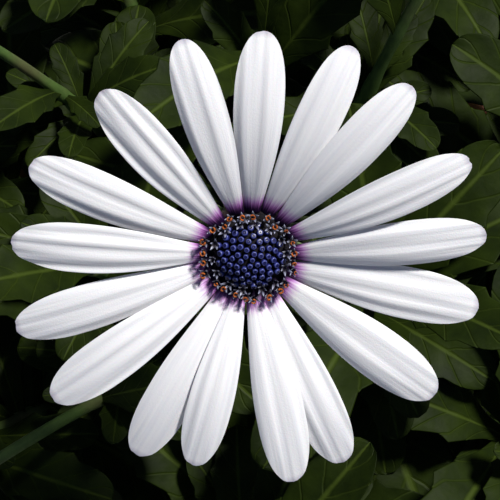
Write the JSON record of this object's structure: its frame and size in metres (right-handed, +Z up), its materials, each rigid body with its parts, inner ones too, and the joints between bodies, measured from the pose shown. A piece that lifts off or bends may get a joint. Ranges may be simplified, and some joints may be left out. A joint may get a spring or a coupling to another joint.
{
  "type": "potted cape marigold",
  "caption": "Bushy daisy-like balcony plant in a plain clay pot, with a white, blue-eyed bloom on a tall stalk, rolled buds and toothed green leaves.",
  "frame": {"origin": "middle of the pot's foot, on the surface that it stands on", "axes": "+Z up, from the pot's foot to the bloom; the bloom leans to the front, -Y; +X to the right of someone in front of it"},
  "size_m": [0.1794, 0.1807, 0.2354],
  "materials": {
    "clay": "unglazed, matte",
    "soil": "damp crumbs",
    "leaf": "satin leaf",
    "bract": "satin leaf",
    "ray": "soft petal",
    "pollen": "powdery",
    "disc": "satin",
    "bud_ray": "soft petal"
  },
  "bodies": {
    "root": {"pot": "clay", "soil": "soil", "shoot_1": "leaf", "shoot_2": "leaf", "shoot_3": "leaf", "shoot_4": "leaf", "shoot_5": "leaf", "shoot_6": "leaf", "shoot_7": "leaf", "shoot_8": "leaf", "shoot_9": "leaf", "shoot_10": "leaf", "bloom_stalk": "leaf", "bloom_involucre": "bract", "bloom_rays": "ray", "bloom_open_florets": "pollen", "bloom_disc": "disc", "bud_1_stalk": "leaf", "bud_1_bracts": "bract", "bud_1_rays": "bud_ray", "bud_2_stalk": "leaf", "bud_2_bracts": "bract", "bud_2_rays": "bud_ray", "bud_3_stalk": "leaf", "bud_3_bracts": "bract"}
  },
  "joints": []
}
